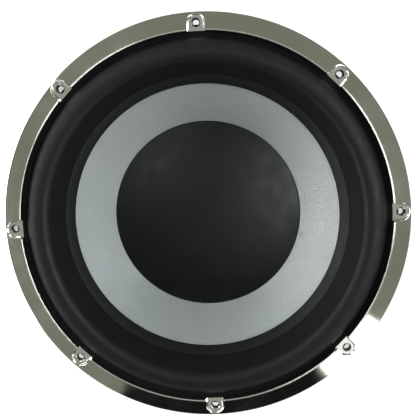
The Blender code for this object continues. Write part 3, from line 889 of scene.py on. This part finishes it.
def motor():
    """The boot, the back plate with its pole, the two magnets and the top plate."""
    inner, outer, head = 78.6, 81.0, 56.0
    ribs = []
    for low, count in ((6.0, 5), (37.0, 5)):
        for i in range(count):
            z = low + 2.6 * i
            ribs += [(outer - 0.1, z), (outer - 0.9, z + 0.5), (outer - 0.9, z + 1.3),
                     (outer - 0.1, z + 1.8)]
    boot = rounded([(inner, head, 0.4), (inner, 1.8), (64.0, 1.8, 0.5), (64.0, 0.0, 0.6), (outer, 0.0, 2.2)]
                   + [(r, z, 0.25) for r, z in ribs] + [(outer, head, 1.1)], steps=3)
    ride("magnet_boot", mesh_of("boot", turned(boot)), "boot_rubber")
    plate_foot, plate_head, pole_head, vent = 2.1, 12.1, 63.0, 14.0
    plate = rounded([
        (31.0, pole_head, 0.6), (31.0, plate_head, 1.5), (76.0, plate_head, 0.8), (76.0, plate_foot, 2.0),
        (48.0, plate_foot, 2.0), (46.5, plate_foot + 0.9, 1.0), (30.0, plate_foot + 0.9, 1.0),
        (28.5, plate_foot, 1.0), (vent + 4, plate_foot, 3.0), (vent, plate_foot + 6, 4.0),
        (vent, pole_head - 6, 4.0), (vent + 4, pole_head, 1.5),
    ])
    ride("back_plate_and_pole", mesh_of("plate", turned(plate)), "zinc_steel")
    foot, height = plate_head + GAP, 19.5
    for node in ("magnet_lower", "magnet_upper"):
        head = foot + height
        ring = rounded([(44.0, head, 1.0), (78.0, head, 1.0), (78.0, foot, 1.0), (44.0, foot, 1.0)],
                       steps=2)
        ride(node, mesh_of(node, turned(ring)), "ferrite")
        foot += height + GAP
    top = FLOOR_MIDDLE - SHEET / 2 - GAP
    ring = rounded([(35.6, top, 0.4), (76.0, top, 1.0), (76.0, foot, 0.8), (35.6, foot, 0.4)], steps=3)
    holes = around(prism(regular(SCREW_HOLE, 20, (SCREW_CIRCLE, 0)), foot + 1, 64), SCREW_COUNT)
    plate = worked(mesh_of("top_plate", turned(ring)), cut(mesh_of("holes", *holes)))
    ride("top_plate", plate, "zinc_steel")


def screw_mesh(outline, steps, sides, size, depth, head):
    """A screw with a socket in its head: with this many sides, or a cross for none."""
    body = mesh_of("screw", turned(rounded(outline, closed=False, steps=4), steps, closed=False))
    if sides:
        socket = [prism(regular(size, sides), head - depth, head + 1)]
    else:
        blade = prism(round_box(2 * size, size * 0.42, size * 0.1, 2), head - depth, head + 1)
        socket = [blade, moved(blade, Matrix.Rotation(math.pi / 2, 4, "Z"))]
    for tool in socket:
        body = worked(body, cut(mesh_of("socket", tool)))
    return body


def basket_screws():
    """The six screws that hold the basket on the top plate."""
    pattern = screw_mesh([(0.0, 66.2), (3.0, 66.2, 0.8), (4.4, 65.2, 0.8), (4.4, 63.6, 0.2), (2.2, 63.6),
                          (2.2, 54.2, 0.5), (0.0, 54.2)], 48, 6, 2.0, 1.6, 66.2)
    for i in range(SCREW_COUNT):
        mesh = pattern.copy()
        outwards = Matrix.Translation((SCREW_CIRCLE * MM, 0, 0))
        mesh.transform(Matrix.Rotation(2 * math.pi * i / SCREW_COUNT, 4, "Z") @ outwards)
        ride(f"basket_screw_{i + 1}", mesh, "black_screw")


# ---- the terminals

def block_place(side):
    """A terminal block's place, in millimetres: its z runs outwards from the basket's wall."""
    seat = Matrix.Translation((0, TERMINAL_SEAT * side, TERMINAL_HEIGHT))
    return seat @ Matrix.Rotation(0 if side == 1 else math.pi, 4, "Z") @ LIE_BACK


def terminal_base(side):
    """The moulded block: wells and bores for its posts, holes for its screws and a mark by each post."""
    posts = (POST_OFFSET, -POST_OFFSET)
    body = worked(mesh_of("base", prism(round_box(34, 18, 2.0), 0, 6.0)), bevel(0.5, 3))
    body = worked(body, joined(mesh_of("boss", prism(round_box(19, 6.2, 0.8), -4.0, 0.5))))
    tools = [prism(regular(1.9, 24, (x, 0)), -6, 3) for x in posts]
    for x in (TERMINAL_SCREW_OFFSET, -TERMINAL_SCREW_OFFSET):
        tools.append(prism(regular(1.4, 16, (x, 0)), -6, 8))
    body = worked(body, cut(mesh_of("tools", *tools)))
    outline = [(0, 1.2), (4.4, 1.2, 0.3), (4.7, 5.5, 0.2), (5.3, 6.2), (5.3, 8.0), (0, 8.0)]
    well = turned(rounded(outline, closed=False, steps=3), 40, closed=False)
    wells = [moved(well, Matrix.Translation((x, 0, 0))) for x in posts]
    body = worked(body, cut(mesh_of("wells", *wells)))
    bar = prism(round_box(2.6, 0.55, 0.2, 2), 5.9, 6.35)
    plus, minus = (Matrix.Translation((x, 7.2, 0)) for x in posts)
    for place in (plus, plus @ Matrix.Rotation(math.pi / 2, 4, "Z"), minus):
        body = worked(body, joined(mesh_of("mark", moved(bar, place))))
    return placed(body, block_place(side))


def placed(mesh, matrix):
    """A copy of a mesh, moved by a matrix in millimetres."""
    made = mesh.copy()
    scale = Matrix.Scale(MM, 4)
    made.transform(scale @ matrix @ scale.inverted())
    return made


def terminals():
    """Both blocks with their screws, posts, springs and push caps."""
    screw = screw_mesh([(0.0, 7.8), (1.3, 7.8, 0.5), (2.0, 7.2, 0.4), (2.0, 6.3, 0.1), (1.0, 6.3),
                        (1.0, -5.0, 0.3), (0.0, -5.0)], 32, 0, 1.1, 0.8, 7.8)
    post = mesh_of("post", turned(rounded([
        (0, 13.2), (2.6, 13.2, 0.25), (2.6, 12.3, 0.15), (1.6, 12.3), (1.6, -4.4), (2.6, -4.4, 0.15),
        (2.6, -5.4, 0.25), (0, -5.4),
    ], closed=False, steps=3), 40, closed=False))
    eye = moved(prism(regular(0.75, 16), -4, 4), Matrix.Translation((0, 0, 9.0)) @ LIE_BACK)
    post = worked(post, cut(mesh_of("eye", eye)))
    cap = mesh_of("cap", gripped(turned(rounded([
        (0, 19.9), (2.9, 19.9, 1.0), (3.6, 20.3, 0.5), (4.6, 20.3, 0.6), (5.45, 19.3, 0.6),
        (5.45, 10.3, 0.3), (2.0, 10.3, 0.2), (2.0, 11.9), (4.4, 11.9), (4.4, 18.6), (0, 18.6),
    ], closed=False, steps=4), 192, closed=False), 24, 0.14, 5.0))
    angles = np.linspace(0, 2 * math.pi * 3.5, 141)
    helix = np.stack([3.3 * np.cos(angles), 3.3 * np.sin(angles), np.linspace(1.7, 9.7, 141)], axis=1)
    spring = mesh_of("spring", tube(helix, 0.35, 10))
    for side, block in BLOCKS:
        place = block_place(side)
        ride(f"terminal_base_{block}", terminal_base(side), "base_plastic")
        for i, offset in enumerate((TERMINAL_SCREW_OFFSET, -TERMINAL_SCREW_OFFSET)):
            mesh = placed(screw, place @ Matrix.Translation((offset, 0, 0)))
            ride(f"terminal_screw_{block}_{i + 1}", mesh, "zinc_screw")
        for offset, pole, slot in ((POST_OFFSET, "positive", "red_plastic"),
                                   (-POST_OFFSET, "negative", "black_plastic")):
            at = place @ Matrix.Translation((offset, 0, 0))
            tag = f"{pole}_{block}"
            ride(f"terminal_post_{tag}", placed(post, at), "brass_post")
            ride(f"push_cap_{tag}", placed(cap, at), slot, f"push_cap_{tag}")
            foot, tip = at @ Vector((0, 0, 1.9)), at @ Vector((0, 0, 9.5))
            coil = piece(f"terminal_spring_{tag}", placed(spring, at), "spring_steel")
            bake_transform(coil, "frame", f"push_cap_{tag}", tuple(foot * MM), tuple(tip * MM))


# ---- camera, light and floor

def direction(azimuth, elevation):
    """The unit vector at this azimuth from +X and elevation above the horizon, in degrees."""
    a, e = math.radians(azimuth), math.radians(elevation)
    return Vector((math.cos(a) * math.cos(e), math.sin(a) * math.cos(e), math.sin(e)))


# The camera: metres, degrees, and its lens in millimetres
DISTANCE = 0.60
LOOK_AT = 0.169
LEAN_RIGHT = 2.6
LEAN_BACK = 8.01
ROLL = 2.93
LENS = 66.78
SHIFT = (0.0101, 0.0258)


def camera():
    """Looks down on the driver's face, leaning a little towards +X and +Y."""
    data = bpy.data.cameras.new("camera")
    data.lens, data.sensor_width = LENS, 36.0
    data.shift_x, data.shift_y = SHIFT
    made = added("camera", data)
    back = Vector((math.sin(math.radians(LEAN_RIGHT)), math.sin(math.radians(LEAN_BACK)), 0.0))
    back.z = math.sqrt(1 - back.length_squared)
    tilt = math.radians(ROLL)
    up = Vector((math.sin(tilt), math.cos(tilt), 0.0))
    side = up.cross(back).normalized()
    up = back.cross(side)
    turn = Matrix((side, up, back)).transposed().to_4x4()
    made.matrix_world = Matrix.Translation(Vector((0, 0, LOOK_AT)) + back * DISTANCE) @ turn
    bpy.context.scene.camera = made


def zone(graph, way, azimuth, half, soft, low, high, edge):
    """A smooth patch of sky: 1 inside these degrees of azimuth and elevation."""
    flat = graph.add("VectorMath", {0: way, 1: (1.0, 1.0, 0.0)}, operation="MULTIPLY")
    flat = graph.add("VectorMath", {0: flat}, operation="NORMALIZE")
    facing = graph.add("VectorMath", {0: flat, 1: tuple(direction(azimuth, 0))}, output="Value",
                       operation="DOT_PRODUCT")
    sideways = graph.span(facing, math.cos(math.radians(half + soft)), math.cos(math.radians(half)))
    height = graph.split(way)["Z"]
    rise = graph.span(height, math.sin(math.radians(low - edge)), math.sin(math.radians(low)))
    fall = graph.span(height, math.sin(math.radians(high)), math.sin(math.radians(high + edge)), 1.0, 0.0)
    return graph.math("MULTIPLY", sideways, graph.math("MULTIPLY", rise, fall))


HORIZON = (0.72, 0.76, 0.76)
SKY = (0.205, 0.215, 0.170)
ZENITH = (0.35, 0.36, 0.33)
UNLIT = (0.008, 0.008, 0.008)
# Each soft light: azimuth, half width, softness, lowest, highest and edge in degrees, strength, colour
PATCHES = (
    (178, 30, 10, 11, 22, 3, 6.5, (1.0, 1.0, 0.98)),
    (140, 14, 14, 45, 58, 4, 5.5, (0.94, 1.0, 1.0)),
    (5, 20, 12, 45, 60, 3, 9.5, (0.94, 1.0, 1.0)),
    (308, 9, 1, 22, 33, 2, 5.0, (1.0, 1.0, 1.0)),
    (293, 10, 3, 64, 78, 2, 1.1, (1.0, 1.0, 1.0)),
)
# The one dark patch, with the same six angles
DARK = (270, 26, 2, 22, 48, 3)


def sky():
    """The room about the driver: pale low down and dim above, with soft lights and a dark patch."""
    world = bpy.data.worlds.new("room")
    world.use_nodes = True
    bpy.context.scene.world = world
    graph = Graph(world.node_tree)
    way = graph.add("TexCoord", output="Generated")
    height = graph.split(way)["Z"]
    color = graph.mix(graph.span(height, 0.28, 0.41), HORIZON, SKY)
    color = graph.mix(graph.span(height, 0.72, 0.97), color, ZENITH)
    color = graph.mix(zone(graph, way, *DARK), color, UNLIT)
    for *shape, strength, tint in PATCHES:
        glow = tuple(strength * part for part in tint)
        color = graph.mix(zone(graph, way, *shape), color, glow)
    seen = graph.add("LightPath", output="Is Camera Ray")
    backdrop = graph.add("Background", {"Color": (1.0, 1.0, 1.0), "Strength": 1.0})
    room = graph.tree.nodes["Background"]
    graph.feed(room.inputs["Color"], color)
    both = graph.tree.nodes.new("ShaderNodeMixShader")
    graph.feed(both.inputs[0], seen)
    graph.feed(both.inputs[1], room.outputs[0])
    graph.feed(both.inputs[2], backdrop)
    graph.feed(graph.tree.nodes["World Output"].inputs[0], both.outputs[0])


# The painted shadow: how far in metres its middle lies towards -X and -Y, and where it fades out
SHADE_SHIFT = (0.0075, 0.0235)
SHADE_EDGE = (0.150, 0.202)
GLOW_EDGE = (0.191, 0.202)
GLOW = 0.85


def floor():
    """A pale floor that glows, but for a dark disc painted under the driver for its shadow."""
    size = 3000.0
    mesh = mesh_of("floor", prism(regular(size, 64), -20.0, 0.0))
    look = Look("floor", (0.9, 0.9, 0.9), 0.7)
    look.set("Emission Color", (1.0, 1.0, 1.0))
    x, y, _ = look.axes()
    away = look.distance(look.math("ADD", x, SHADE_SHIFT[0]), look.math("ADD", y, SHADE_SHIFT[1]))
    paper = look.mix(look.grain(3.0, 3.0), (0.88, 0.88, 0.88), (0.92, 0.92, 0.92))
    look.set("Base Color", look.mix(look.span(away, *SHADE_EDGE), (0.22, 0.22, 0.225), paper))
    look.set("Emission Strength", look.span(away, *GLOW_EDGE, 0.0, GLOW))
    mesh.materials.append(look.material)
    added("floor", mesh)


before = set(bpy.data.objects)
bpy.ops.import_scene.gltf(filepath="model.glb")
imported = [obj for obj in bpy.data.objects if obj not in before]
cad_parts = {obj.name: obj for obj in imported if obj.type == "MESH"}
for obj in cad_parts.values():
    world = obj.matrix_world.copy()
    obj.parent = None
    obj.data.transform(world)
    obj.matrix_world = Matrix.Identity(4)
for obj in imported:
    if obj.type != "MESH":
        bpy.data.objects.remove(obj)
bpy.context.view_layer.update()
bpy.context.scene.view_settings.view_transform = "Standard"
LOOKS = all_looks()

camera()
sky()
floor()

surround()
cone()
dust_cap()
glue_bead()
former_and_coils()
spider()
tinsel_leads()
trim_ring()
basket()
motor()
basket_screws()
terminals()
